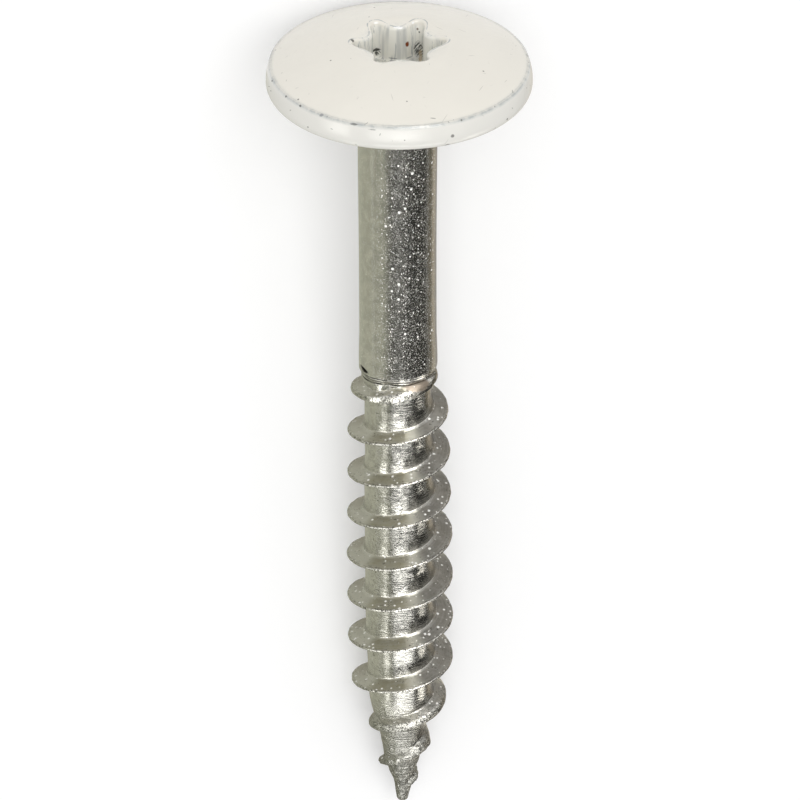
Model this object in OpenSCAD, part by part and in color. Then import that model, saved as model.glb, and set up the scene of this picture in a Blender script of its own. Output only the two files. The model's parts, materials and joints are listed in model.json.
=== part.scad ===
// A wood screw with a wide, low, painted head, headed and rolled from one piece of steel wire.
// It is drawn upright, with the bearing face under the head at height 0 and the point down,
// and is then laid on its side, where it rests on the rim of its head and on its thread.

/* [Head] */
// Diameter of the head at its widest
head_d = 12; // [9:0.1:16]
// Height of the side of the head, from the bearing face up to the edge of the dome
rim_h = 1.2; // [1:0.05:2]
// Distance that the edge of the dome lies inside the widest circle
rim_inset = 0.14; // [0.05:0.01:0.3]
// Radius of the lower edge of the head
rim_edge_r = 0.4; // [0.1:0.05:0.6]
// Height of the dome above its edge
dome_h = 1.4; // [0.8:0.05:2.5]

/* [Six-lobed recess] */
// Width of the recess over two opposite lobes
recess_lobe_d = 3.95; // [3.35:0.05:4.5]
// Width of the recess between two opposite hollows
recess_waist_d = 2.85; // [2.4:0.05:3.2]
// Radius of the end of a lobe
lobe_r = 0.305; // [0.25:0.005:0.4]
// Radius of the bulge between two lobes
hollow_r = 0.859; // [0.7:0.005:0.95]
// Width over two opposite lobes of the flared mouth, at the height of the top of the dome
mouth_lobe_d = 4.7; // [4.5:0.05:5.2]
// Depth of the flare, from the top of the dome
mouth_depth = 0.4; // [0.2:0.05:0.8]
// Depth of the straight walls, from the top of the dome
recess_depth = 2.1; // [1.2:0.05:2.2]
// Depth of the hollow cone in the floor
floor_cone_depth = 0.4; // [0.1:0.05:0.6]
// Turn of the recess about the screw's axis
recess_turn = 3; // [0:1:59]

/* [Shank] */
// Diameter of the shank just under the head
neck_d = 3.64; // [3.3:0.02:4.4]
// Diameter of the shank along its middle
shank_d = 3.54; // [3.3:0.02:4.4]
// Diameter of the swell at the lower end of the shank
collar_d = 3.6; // [3.4:0.02:4.6]
// Radius of the fillet between the head and the shank
neck_fillet_r = 0.3; // [0.1:0.05:0.6]
// Length of the tapered stretch under the head
neck_len = 8.5; // [2:0.5:9]
// Distance from the bearing face to the swell
collar_at = 14; // [12:0.1:16]
// Length of the swell's gentle rise
collar_rise = 1.6; // [0.5:0.1:2.5]
// Length of the step from the swell down to the core
collar_step = 0.9; // [0.5:0.05:1.5]

/* [Core and point] */
// Length of the screw under the head
screw_len = 38.3; // [34:0.1:50]
// Diameter of the core where it leaves the shank
core_top_d = 3.1; // [2.8:0.02:3.3]
// Diameter of the core at its full width
core_d = 3.22; // [2.8:0.02:3.4]
// Length over which the core reaches its full width
core_swell_len = 6; // [3:0.5:10]
// Length of the point
point_len = 8.6; // [5:0.1:11]
// Bend of the point's outline, where 1 is a straight cone
point_bend = 1.6; // [1:0.1:2.5]
// Diameter of the blunt tip
tip_d = 0.54; // [0.4:0.02:1]

/* [Thread] */
// Outer diameter of the thread
thread_d = 4.9; // [4.4:0.02:5.6]
// Distance from one turn of the thread to the next
pitch = 2.23; // [1.8:0.01:3]
// Width of the flat along the crest
crest_w = 0.12; // [0.06:0.01:0.3]
// Width of the thread where its hollow flanks begin
flank_w = 0.52; // [0.4:0.02:0.8]
// Width of the thread where it leaves the core
root_w = 0.8; // [0.6:0.02:1.2]
// Height of the hollow part of the flanks
hollow_h = 0.14; // [0.05:0.01:0.25]
// Distance from the bearing face to the first trace of the thread
thread_at = 14.2; // [12.2:0.1:16]
// Length over which the thread grows to its full height
run_in = 3; // [1:0.1:5]
// Distance from the tip at which the thread begins to fade
fade_from = 7.4; // [5:0.1:10]
// Distance from the tip at which the thread ends
thread_end = 1.3; // [1:0.1:2]
// Height of the thread at its very end
end_h = 0.08; // [0.04:0.01:0.2]
// Turn of the thread about the screw's axis
thread_turn = 193; // [0:1:359]

/* [Lying place] */
// Roll of the lying screw about its own axis, to the place where it stays put
screw_roll = -10; // [-180:5:180]

/* [Hidden] */
// Faces round a circle, and steps along an arc and along the point
round_faces = 96;
arc_steps = 5;
point_steps = 10;
// Sections in one turn of the thread
turn_steps = 30;
// Depth that the thread's section reaches into the core
root_sink = 0.2;
// Depth that one solid reaches into the next, and that a cut runs past a face
overlap = 0.2;
lobes = 6;
// Least width of the thread's run-in and end, as a share of its full width
slim_share = 0.5;
// Tries that narrow down the angle at which the screw comes to rest, and the steepest such angle
settle_steps = 24;
steepest_lie = 30;

head_r = head_d / 2;
dome_edge_r = head_r - rim_inset;
dome_r = (dome_edge_r * dome_edge_r + dome_h * dome_h) / (2 * dome_h);
head_h = rim_h + dome_h;
side_h = rim_h - rim_edge_r;
side_r = (side_h * side_h + rim_inset * rim_inset) / (2 * rim_inset);
point_at = screw_len - point_len;
fade_at = screw_len - fade_from;
thread_stop = screw_len - thread_end;
thread_full_h = (thread_d - core_d) / 2;
sections = ceil((thread_stop - thread_at) / pitch * turn_steps);

// Points along an arc about a centre, from one angle to another
function arc(centre, r, from, to) =
    [for (i = [0 : arc_steps]) let (a = from + (to - from) * i / arc_steps)
        [centre[0] + r * cos(a), centre[1] + r * sin(a)]];

// Share of the way from one place to another, held between 0 and 1
function share(x, from, to) = max(0, min(1, (x - from) / (to - from)));

// Radius of the core at a depth below the bearing face
function core_r(depth) =
    let (top = core_top_d / 2, full = core_d / 2, tip = tip_d / 2)
    depth < point_at
        ? top + (full - top) * share(depth, collar_at + collar_step, collar_at + collar_step + core_swell_len)
        : tip + (full - tip) * (1 - pow(share(depth, point_at, screw_len), point_bend));

// Height of the thread over the core at a depth below the bearing face
function thread_h(depth) =
    let (start = 1 - pow(1 - share(depth, thread_at, thread_at + run_in), 2),
         fade = 1 - share(depth, fade_at, thread_stop))
    start * (end_h + (thread_full_h - end_h) * fade);

// Outline of the thread across its run, as [radius, height along the axis]
function thread_section(depth) =
    let (core = core_r(depth), h = thread_h(depth),
         slim = slim_share + (1 - slim_share) * min(1, h / thread_full_h),
         knee = core + min(hollow_h, h / 2), crest = core + h)
    [[core - root_sink, -root_w / 2 * slim], [knee, -flank_w / 2 * slim], [crest, -crest_w / 2],
     [crest, crest_w / 2], [knee, flank_w / 2 * slim], [core - root_sink, root_w / 2 * slim]];

// The thread's sections, one after the other down a right-handed helix
section_points = len(thread_section(point_at));
thread_points =
    [for (i = [0 : sections])
        let (depth = thread_at + (thread_stop - thread_at) * i / sections,
             a = thread_turn - depth / pitch * 360)
        for (p = thread_section(depth)) [p[0] * cos(a), p[0] * sin(a), p[1] - depth]];

// Reach of the head and of the thread towards the ground when the rolled screw lies at an angle
function head_reach(lie) = (head_r - rim_edge_r) * cos(lie) - rim_edge_r * sin(lie) + rim_edge_r;
function thread_reach(lie) = max([for (p = thread_points)
    (p[0] * sin(screw_roll) + p[1] * cos(screw_roll)) * cos(lie) - p[2] * sin(lie)]);

// Angle at which the head and the thread both touch the ground
function settled(low, high, steps) =
    let (middle = (low + high) / 2)
    steps == 0 ? middle
    : head_reach(middle) > thread_reach(middle) ? settled(middle, high, steps - 1)
    : settled(low, middle, steps - 1);

lie = settled(0, steepest_lie, settle_steps);
lie_h = head_reach(lie);

// Reach of the dome one way and of the tip the other way along the ground, and their middle
dome_reach = (head_h - dome_r) * cos(lie) + dome_r;
tip_reach = screw_len * cos(lie) + tip_d / 2 * sin(lie);
lie_middle = (tip_reach - dome_reach) / 2;

// Section of the head's side, round below and slightly bulged above
module rim_section() {
    polygon(concat([[0, 0]],
        arc([head_r - rim_edge_r, rim_edge_r], rim_edge_r, -90, 0),
        arc([head_r - side_r, rim_edge_r], side_r, 0, asin(side_h / side_r)),
        [[0, rim_h]]));
}

// Section of the dome
module dome_section() {
    intersection() {
        translate([0, head_h - dome_r]) circle(r = dome_r, $fn = 4 * round_faces);
        translate([0, rim_h - rim_edge_r]) square([dome_edge_r, dome_h + rim_edge_r]);
    }
}

module head() {
    rotate_extrude($fn = round_faces) rim_section();
    rotate_extrude($fn = round_faces) dome_section();
}

// Outline of the six-lobed recess
function lobe_outline() =
    let (lobe_at = recess_lobe_d / 2 - lobe_r,
         hollow_at = recess_waist_d / 2 + hollow_r,
         half = 180 / lobes,
         swing = atan2(hollow_at * sin(half), hollow_at * cos(half) - lobe_at))
    [for (k = [0 : lobes - 1]) let (turn = k * 360 / lobes)
        each concat(
            arc([lobe_at * cos(turn), lobe_at * sin(turn)], lobe_r, turn - swing, turn + swing),
            arc([hollow_at * cos(turn + half), hollow_at * sin(turn + half)], hollow_r,
                turn + 180 + swing, turn + 180 + 2 * half - swing))];

module recess() {
    mouth_scale = mouth_lobe_d / recess_lobe_d;
    rotate([0, 0, recess_turn]) {
        translate([0, 0, head_h - recess_depth])
            linear_extrude(height = recess_depth + overlap) polygon(lobe_outline());
        translate([0, 0, head_h - mouth_depth])
            linear_extrude(height = mouth_depth, scale = mouth_scale) polygon(lobe_outline());
    }
    translate([0, 0, head_h - recess_depth - floor_cone_depth])
        cylinder(h = floor_cone_depth + overlap, r1 = 0,
                 r2 = recess_waist_d / 2 * (1 + overlap / floor_cone_depth), $fn = round_faces);
}

// Half of the shank's, core's and point's outline, as [radius, height]
function body_outline() = concat(
    [[0, overlap], [neck_d / 2 + neck_fillet_r, overlap]],
    arc([neck_d / 2 + neck_fillet_r, -neck_fillet_r], neck_fillet_r, 90, 180),
    [[shank_d / 2, -neck_len], [shank_d / 2, collar_rise - collar_at], [collar_d / 2, -collar_at],
     [core_top_d / 2, -collar_at - collar_step],
     [core_d / 2, -collar_at - collar_step - core_swell_len]],
    [for (i = [0 : point_steps]) let (depth = point_at + point_len * i / point_steps)
        [core_r(depth), -depth]],
    [[0, -screw_len]]);

module body() {
    rotate_extrude($fn = round_faces) polygon(body_outline());
}

// The thread as one closed skin round its run of sections
module thread() {
    n = section_points;
    last = sections * n;
    sides = [for (i = [0 : sections - 1]) for (j = [0 : n - 1])
        let (a = i * n + j, b = i * n + (j + 1) % n)
        each [[a, a + n, b + n], [a, b + n, b]]];
    first_cap = [for (j = [0 : n - 1]) j];
    last_cap = [for (j = [n - 1 : -1 : 0]) last + j];
    polyhedron(thread_points, concat(sides, [first_cap, last_cap]));
}

// The whole screw, lying along Y with its head towards +Y
module screw() {
    color("gainsboro")
        translate([0, lie_middle, lie_h])
            rotate([lie - 90, 0, 0])
                rotate([0, 0, screw_roll])
                    difference() {
                        union() {
                            head();
                            body();
                            thread();
                        }
                        recess();
                    }
}

screw();
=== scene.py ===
"""Models the looks of a painted head screw: its steel shank, rolled thread and ragged point, and its
painted head with the six-lobed recess. The screw lies on its side, and the camera looks down on it."""
import json
import math
from types import SimpleNamespace
import bmesh
import bpy
import numpy as np
from bpy.props import FloatProperty, FloatVectorProperty, IntProperty, PointerProperty
from mathutils import Matrix, Vector, noise


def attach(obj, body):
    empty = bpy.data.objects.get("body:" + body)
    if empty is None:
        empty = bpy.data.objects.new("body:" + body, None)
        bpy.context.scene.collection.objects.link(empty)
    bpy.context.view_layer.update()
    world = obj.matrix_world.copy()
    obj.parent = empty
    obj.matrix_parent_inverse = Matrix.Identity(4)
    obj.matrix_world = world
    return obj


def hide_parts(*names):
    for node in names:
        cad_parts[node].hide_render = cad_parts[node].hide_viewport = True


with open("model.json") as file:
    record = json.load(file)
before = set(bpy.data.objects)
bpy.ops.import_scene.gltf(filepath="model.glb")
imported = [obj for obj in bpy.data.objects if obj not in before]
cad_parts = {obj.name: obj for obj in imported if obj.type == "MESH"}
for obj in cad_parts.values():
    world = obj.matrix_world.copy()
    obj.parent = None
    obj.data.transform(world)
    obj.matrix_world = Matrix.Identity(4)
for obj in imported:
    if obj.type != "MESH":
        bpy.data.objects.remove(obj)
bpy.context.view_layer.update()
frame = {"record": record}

bl_info = {
    "name": "Painted Head Screw",
    "version": (1, 0, 0),
    "blender": (4, 5, 0),
    "location": "3D View > Sidebar > Screw",
    "description": "Makes a wood screw with a painted head, and a pale studio round it",
    "category": "Add Mesh",
}

MM = 0.001
FULL_TURN = 360.0
BODY = "root"
CAD_NODE = "screw"
LOBES = 6
MIDDLE_DEPTH = 18.0
WELD = 2e-7
SLIVER = 1e-8

# Outlines down the screw, as (depth under the head, radius) in millimetres
CORE_OUTLINE = (
    (14.2, 1.56), (18.9, 1.555), (21.2, 1.60), (28.2, 1.61), (30.4, 1.545), (32.3, 1.49), (33.3, 1.31),
    (34.4, 1.04), (35.3, 0.89), (36.4, 0.66), (37.2, 0.43), (37.8, 0.31), (38.35, 0.24),
)
CREST_OUTLINE = (
    (14.2, 1.72), (14.6, 1.85), (15.1, 2.01), (15.7, 2.18), (16.8, 2.28), (18.0, 2.35), (21.2, 2.385),
    (24.0, 2.45), (28.2, 2.45), (30.3, 2.42), (31.5, 2.30), (32.5, 2.09), (33.9, 1.50), (34.8, 1.25),
    (36.0, 1.08), (36.9, 0.72), (37.6, 0.36), (38.35, 0.24),
)

# Depths under the head where the steel changes, in millimetres
SHANK_END = 14.55
LEFT_STEP_ENDS = (15.0, 15.3)
FIRST_CREST = 15.0
THREAD_RISES = (14.45, 14.7)
CREST_CHIPS_GROW = (15.3, 16.0)
CORE_WAIST_GROWS = (15.5, 17.0)
TURNS_DRIFT = (29.5, 33.5)
POINT_TOOLED = (31.0, 34.0)
CREST_BROADENS = (31.4, 32.9)
CORE_WAIST_FADES = (31.5, 33.5)
POINT_DULLS = (32.4, 34.0)
FLANKS_SLUMP = (32.6, 34.6)
POINT_RAGGED = (33.0, 36.5)
CREST_NARROWS = (34.6, 35.6)
TIP_GRITTY = (35.3, 36.3)
TIP_TARNISHES = (35.4, 36.1)

# Rows of faces beside the crest, as distances from it in millimetres
ROW_OFFSETS = (0.0, 0.03, 0.048, 0.06, 0.075, 0.11, 0.15, 0.19, 0.22, 0.245, 0.27, 0.295, 0.32, 0.345, 0.37,
               0.40, 0.45, 0.54, 0.65, 0.78, 0.92, 1.04)

# Level rows under the head, as depths in millimetres, and rings on the head's underside, as radii
NECK_ROWS = (-0.2, -0.05, 0, 0.02, 0.05, 0.09, 0.14, 0.2, 0.26, 0.3)
UNDERSIDE_RINGS = (0.6, 2.0, 3.6, 4.8)

# Knocks, nubs and folds of the metal: turn in degrees, depth, reach round and along in millimetres, height
FLAWS = (
    (352, 35.2, 0.55, 0.42, 0.13),
    (344, 35.95, 0.22, 0.16, 0.03),
    (183, 36.2, 0.2, 0.1, 0.05),
    (20, 37.35, 0.3, 0.5, 0.1),
    (205, 37.2, 0.25, 0.4, -0.05),
    (206, 14.28, 0.3, 0.09, -0.13),
    (300, 37.5, 0.2, 0.25, -0.06),
    (250, 36.9, 0.2, 0.18, 0.04),
    (285, 37.1, 0.15, 0.12, 0.04),
    (318, 37.0, 0.16, 0.14, -0.05),
)

# Share of the colour that the dimmer patches of steel and of paint keep
DIM_STEEL = 0.86
DIM_PAINT = 0.98

# Colours on the steel: what lies on it, and painted shade in the flanks' roots, on their right side and in
# the folds
PALE_FILM = (0.48, 0.47, 0.41)
# Painted shade: the flanks' film on the screw's right side, and in the roots of the flanks
SHADED_RIGHT_FILM = (0.19, 0.18, 0.158)
ROOT_SHADE = (0.17, 0.155, 0.1)
RING_GLEAM = (0.6, 0.59, 0.54)
SOOT = (0.1, 0.095, 0.08)
BEIGE = (0.28, 0.23, 0.18)
# Painted shade in the folds and the dent at the shank's end
FOLD_SHADE = (0.008, 0.007, 0.005)
TARNISH = (0.2, 0.2, 0.185)

# Colours on the paint: what lies on it, painted shade on the head's side, painted light in the recess, and
# painted glints
SHADED_SIDE_PAINT = (0.77, 0.765, 0.73)
LIT_RECESS_PAINT = (0.84, 0.845, 0.79)
CREASE_GREY = (0.38, 0.41, 0.41)
LIP_GREY = (0.3, 0.33, 0.35)
STREAK_DIRT = (0.34, 0.36, 0.37)
DARK = (0.06, 0.06, 0.055)
GREY = (0.2, 0.2, 0.19)
SLATE = (0.22, 0.23, 0.24)
PAINTED_GLINT = (0.98, 0.98, 0.97)
RUST = (0.2, 0.05, 0.018)

# Ways in the screw's own frame: white dots crowd towards one, and the flanks' film is brownest and darkest
# towards the other
# White dots crowd towards this side: partly stray paint, partly painted glints
SPRAY_AND_GLINT_SIDE = (0.34, -0.94, 0.0)
# The flanks' film is brown towards this side, a real stain whose darker tone is partly painted shade
BROWN_AND_SHADED_SIDE = (-0.27, -0.963, 0.0)

# Dots of stray paint and painted glints: spacing and radius in millimetres, and the share of places that
# have one
SPRAY_AND_GLINT_DOTS = {
    "big": {"Spacing": 0.3, "Radius": 0.058, "Share": 0.48},
    # Painted glints: these dots lie only on the thread's flanks
    "few": {"Spacing": 0.2, "Radius": 0.064, "Share": 0.42},
    "fine": {"Spacing": 0.11, "Radius": 0.028, "Share": 0.44},
    "finest": {"Spacing": 0.05, "Radius": 0.0175, "Share": 0.8},
}

# Painted shade in a dent, and a beige patch, at the shank's end: middle and reach in millimetres, and
# raggedness
NOTCH_SHADE = {"Middle": (-1.6, -0.78, -14.27), "Reach": (0.34, 0.5, 0.16), "Ragged": 0.7}
BEIGE_WEDGE = {"Middle": (0.85, -1.5, -14.72), "Reach": (0.8, 0.6, 0.3), "Ragged": 0.8}

# Scratches on the paint: spacing, length and width in millimetres, and the share of places that have one
HAIRS = {"Spacing": 1.1, "Length": 0.34, "Width": 0.016, "Share": 0.26}
NICKS = {"Spacing": 0.7, "Length": 0.16, "Width": 0.03, "Share": 0.3}

# Specks in the paint: spacing and radius in millimetres, and the share of places that have one
FEW_SPECKS = {"Spacing": 0.9, "Radius": 0.045, "Share": 0.3}
EDGE_SPECKS = {"Spacing": 0.4, "Radius": 0.05, "Share": 0.14}

# Marks on the paint: kind, middle and reach in millimetres in the screw's frame, tone, strength
MARKS = (
    ("speck", (-5.72, -1.48, 1.15), (0.09, 0.09, 0.06), DARK, 0.9),
    ("speck", (-5.08, -2.98, 1.2), (0.08, 0.08, 0.08), DARK, 0.9),
    ("speck", (-4.42, -3.86, 1.2), (0.09, 0.09, 0.06), DARK, 0.8),
    ("ring", (-3.47, -4.72, 1.21), (0.14, 0.1, 0.1), (0.3, 0.31, 0.31), 0.9),
    ("nick", (-2.0, -5.5, 1.18), (0.3, 0.1, 0.05), (0.16, 0.16, 0.15), 0.8),
    ("nick", (-1.22, -5.86, 1.06), (0.22, 0.2, 0.035), GREY, 0.7),
    ("nick", (1.51, -5.3, 1.37), (0.16, 0.03, 0.08), GREY, 0.7),
    ("nick", (2.36, -5.5, 0.58), (0.11, 0.1, 0.1), DARK, 0.7),
    ("nick", (2.14, -5.55, 0.13), (0.16, 0.2, 0.06), DARK, 0.8),
    ("speck", (-3.06, -1.41, 2.15), (0.05, 0.05, 0.05), DARK, 0.8),
    ("speck", (0.34, -4.5, 1.77), (0.05, 0.05, 0.05), DARK, 0.7),
    ("speck", (3.76, -1.93, 1.89), (0.06, 0.05, 0.05), DARK, 0.7),
    ("speck", (-1.13, 3.94, 1.92), (0.06, 0.06, 0.05), DARK, 0.9),
    ("speck", (-1.36, 2.37, 2.28), (0.05, 0.05, 0.05), DARK, 0.9),
    ("speck", (-2.1, 0.1, 2.35), (0.12, 0.1, 0.12), DARK, 0.9),
    ("rust", (0.37, 1.45, 1.35), (0.11, 0.3, 0.19), RUST, 1.0),
    ("scuff", (0.88, 1.6, 0.98), (0.3, 0.6, 0.5), DARK, 0.95),
    ("speck", (0.82, 1.75, 1.98), (0.06, 0.3, 0.07), (0.1, 0.05, 0.03), 0.8),
    ("speck", (0.9, 1.75, 1.85), (0.05, 0.3, 0.06), DARK, 0.8),
    ("stain", (0.95, 1.5, 0.7), (0.1, 0.6, 0.45), (0.5, 0.4, 0.26), 0.7),
    ("scrape", (-0.97, 1.6, 0.86), (0.17, 0.5, 0.2), DARK, 1.0),
    # Painted highlight: a white streak in the scrape on the recess's wall, where it catches the light
    ("glint", (-1.2, 1.6, 0.72), (0.07, 0.6, 0.3), PAINTED_GLINT, 1.0),
    ("nick", (-1.04, 1.6, 1.01), (0.24, 0.5, 0.09), DARK, 1.0),
    ("line", (-0.28, 1.43, 0.69), (0.24, 0.5, 0.035), SLATE, 0.8),
    ("line", (-0.26, 1.43, 0.59), (0.24, 0.5, 0.03), SLATE, 0.7),
    ("line", (0.45, 1.43, 0.64), (0.2, 0.5, 0.035), SLATE, 0.8),
    # Painted highlights: white glints along the rounded lip of the recess's mouth
    ("glint", (-1.12, 1.84, 2.29), (0.2, 0.08, 0.05), PAINTED_GLINT, 0.9),
    ("glint", (-0.05, 1.54, 2.22), (0.26, 0.08, 0.06), PAINTED_GLINT, 0.9),
    ("glint", (0.65, 1.8, 2.3), (0.13, 0.13, 0.09), PAINTED_GLINT, 0.9),
)

# Cards that the steel mirrors: name, sides, rises and soft edges in degrees, tone, and distance in metres
CARDS = (
    ("card_room", (-112, 150), (-85, 40), (0, 0, 6), (0.2, 0.195, 0.18), 0.27),
    ("foot_dim", (-60, 150), (-85, -36), (0, 0, 3), (0.06, 0.06, 0.055), 0.265),
    ("card_low", (-60, 40), (-42, -12), (0, 14, 3), (0.1, 0.1, 0.095), 0.26),
    ("card_dark", (16, 150), (-42, -8), (18, 0, 3), (0.04, 0.04, 0.037), 0.255),
    ("card_left", (-112, -16), (-75, 40), (0, 32, 6), (0.44, 0.445, 0.36), 0.25),
    ("card_left_bright", (-64, -38), (-18, 16), (8, 8, 4), (4.5, 4.5, 4.3), 0.24),
    ("card_front", (-27, 26), (-18, 16), (6, 8, 4), (3.5, 3.5, 3.4), 0.24),
    ("card_spark", (-10, 14), (-15, 2), (8, 8, 4), (7.0, 7.0, 6.9), 0.23),
    ("card_mid", (30, 56), (-18, 16), (6, 6, 4), (0.8, 0.78, 0.72), 0.24),
    ("foot_left", (-64, -38), (-66, -37), (8, 8, 3), (2.6, 2.6, 2.45), 0.24),
    ("foot_front", (-27, 54), (-66, -37.5), (6, 14, 3), (3.5, 3.5, 3.4), 0.24),
    ("foot_right", (66, 110), (-66, -36.5), (8, 8, 3), (4.0, 3.9, 3.6), 0.24),
    ("card_crest", (-112, 110), (14, 34), (8, 12, 4), (1.5, 1.5, 1.45), 0.245),
    ("card_key", (-4, 42), (28, 74), (8, 8, 6), (9.5, 9.4, 9.2), 0.24),
)

# Tones of the card on the floor, and where each lies in millimetres from the screw's left to its right
LEFT = (0.535, 0.54, 0.435)
OLIVE = (0.4, 0.385, 0.3)
BRIGHT = (0.95, 0.9, 0.78)
DIM = (0.36, 0.35, 0.33)
WARM = (0.58, 0.52, 0.42)
BROWN = (0.17, 0.155, 0.12)
FLOOR_STOPS = ((-260, LEFT), (-2.3, LEFT), (-1.7, OLIVE), (1.9, OLIVE), (2.3, BRIGHT), (3.2, BRIGHT),
               (3.8, DIM), (6.2, DIM), (7.0, WARM), (13, WARM), (15.5, BROWN), (260, BROWN))

# Grey and glow of the floor, and how much light comes evenly from all round
FLOOR_GREY = (0.88, 0.88, 0.88, 1.0)
FLOOR_GLOW = 0.12
WORLD_FILL = 0.7
WHITE = (1.0, 1.0, 1.0, 1.0)


def share(x, low, high):
    """How far x is from low to high, held between 0 and 1."""
    return np.clip((x - low) / (high - low), 0.0, 1.0)


def smooth(x, low, high):
    """As share, with a soft start and end."""
    s = share(x, low, high)
    return s * s * (3 - 2 * s)


def along(outline, depth):
    """Radius of an outline at each depth, on a smooth curve that doesn't overshoot its points."""
    at, r = np.array(outline).T
    slope = np.diff(r) / np.diff(at)
    steep = np.where(slope[:-1] * slope[1:] > 0, 2 * slope[:-1] * slope[1:] / (slope[:-1] + slope[1:]), 0.0)
    steep = np.r_[slope[0], steep, slope[-1]]
    depth = np.clip(depth, at[0], at[-1])
    i = np.clip(np.searchsorted(at, depth) - 1, 0, len(at) - 2)
    gap = at[i + 1] - at[i]
    f = (depth - at[i]) / gap
    return ((1 + 2 * f) * (1 - f) ** 2 * r[i] + f * (1 - f) ** 2 * gap * steep[i]
            + f * f * (3 - 2 * f) * r[i + 1] + f * f * (f - 1) * gap * steep[i + 1])


def ripple(turn, depth, size, seed):
    """Smooth noise from about -1 to 1 over a surface, with bumps about size millimetres across."""
    a = np.radians(turn)
    points = np.stack([np.cos(a) * 2 / size + seed, np.sin(a) * 2 / size, depth / size + 3 * seed], axis=-1)
    flat = [noise.noise(p) for p in points.reshape(-1, 3).tolist()]
    return np.array(flat).reshape(np.shape(turn + depth))


class HeadSizes(bpy.types.PropertyGroup):
    """Sizes of the painted head, in millimetres."""
    diameter: FloatProperty(name="Diameter", description="Widest circle of the head", default=12.0)
    rim_h: FloatProperty(name="Rim height", description="Bearing face to the dome's edge", default=1.2)
    rim_inset: FloatProperty(name="Rim inset", description="Dome edge inside the rim", default=0.14)
    edge_r: FloatProperty(name="Lower edge", description="Radius of the lower edge", default=0.4)
    dome_h: FloatProperty(name="Dome height", description="Height of the dome over its edge", default=1.4)
    crease: FloatProperty(name="Crease", description="Depth of the crease round the dome", default=0.025)
    lobe_d: FloatProperty(name="Recess over lobes", description="Width over two lobes", default=3.95)
    waist_d: FloatProperty(name="Recess waist", description="Width between two hollows", default=2.85)
    lobe_r: FloatProperty(name="Lobe radius", description="Radius of a lobe's end", default=0.305)
    hollow_r: FloatProperty(name="Hollow radius", description="Radius of a hollow", default=0.859)
    mouth_r: FloatProperty(name="Mouth round", description="Paint's round at the mouth", default=0.13)
    flare: FloatProperty(name="Lobe flare", description="Lobes' spread at the mouth", default=0.13)
    sink_d: FloatProperty(name="Countersink", description="Diameter of the countersink", default=4.5)
    sink_slope: FloatProperty(name="Countersink slope", description="Fall of the countersink", default=0.4)
    recess_depth: FloatProperty(name="Recess depth", description="Walls, from the dome's top", default=2.03)
    cone_depth: FloatProperty(name="Floor cone", description="Depth of the floor's hollow", default=0.4)
    pool_r: FloatProperty(name="Paint pool", description="Paint's round at the floor", default=0.12)
    recess_turn: FloatProperty(name="Recess turn", description="Turn of the recess", subtype="ANGLE",
                               default=math.radians(3.0))
    columns: IntProperty(name="Columns", description="Faces round the head", default=288)


class ShankSizes(bpy.types.PropertyGroup):
    """Sizes of the shank, core and point, in millimetres."""
    length: FloatProperty(name="Length", description="Length under the head", default=38.32)
    neck_d: FloatProperty(name="Neck", description="Diameter just under the head", default=3.65)
    shank_d: FloatProperty(name="Shank", description="Diameter of the shank", default=3.53)
    swell_d: FloatProperty(name="Swell", description="Diameter of the lower end's swell", default=3.6)
    fillet_r: FloatProperty(name="Fillet", description="Radius under the head", default=0.3)
    taper_len: FloatProperty(name="Taper", description="Length of the taper", default=8.5)
    swell_at: FloatProperty(name="Swell place", description="Depth of the swell", default=14.0)
    swell_len: FloatProperty(name="Swell length", description="Rise of the swell", default=1.6)
    lean_to: FloatProperty(name="Lean", description="Sideways drift from neck to tip", default=0.23)
    neck_aside: FloatProperty(name="Neck offset", description="Neck left of the head's middle", default=0.08)
    columns: IntProperty(name="Columns", description="Faces round the shank", default=156)


class ThreadSizes(bpy.types.PropertyGroup):
    """Sizes of the rolled thread, in millimetres."""
    pitch: FloatProperty(name="Pitch", description="One turn to the next", default=2.23)
    start_turn: FloatProperty(name="Start turn", description="Turn of the crest at no depth",
                              subtype="ANGLE", default=math.radians(193.0))
    grid_at: FloatProperty(name="Grid start", description="Where helical rows begin", default=14.495)
    turns: IntProperty(name="Turns", description="Whole turns of helical rows", default=9)
    crest_w: FloatProperty(name="Crest", description="Width of the flat crest", default=0.085)
    flank_lean: FloatProperty(name="Flank lean", description="Flank width for its height", default=0.29)
    crest_tilt: FloatProperty(name="Crest tilt", description="Slope of the crest to the head", default=0.25)
    root_h: FloatProperty(name="Root height", description="Height of the hollow root", default=0.1)
    root_w: FloatProperty(name="Root width", description="Width of the hollow root", default=0.06)
    waist: FloatProperty(name="Core waist", description="Rise of the core from turn to turn", default=0.13)


class FinishColours(bpy.types.PropertyGroup):
    """Colours of the finishes."""
    paint: FloatVectorProperty(name="Paint", description="Warm white enamel", subtype="COLOR",
                               size=3, default=(0.83, 0.80, 0.725))
    grime: FloatVectorProperty(name="Grime", description="Dirt in specks and scratches", subtype="COLOR",
                               size=3, default=(0.2, 0.2, 0.18))
    steel: FloatVectorProperty(name="Steel", description="Stainless steel", subtype="COLOR",
                               size=3, default=(0.625, 0.615, 0.58))
    # The film's brown is a real stain; its darker tone is partly painted shade
    film: FloatVectorProperty(name="Oil film", description="Brown film on the flanks", subtype="COLOR",
                              size=3, default=(0.31, 0.29, 0.20))
    # Colour of the white dots: partly stray paint, partly painted glints
    spray: FloatVectorProperty(name="Overspray", description="Paint dots on the steel", subtype="COLOR",
                               size=3, default=(0.88, 0.87, 0.84))


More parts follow.
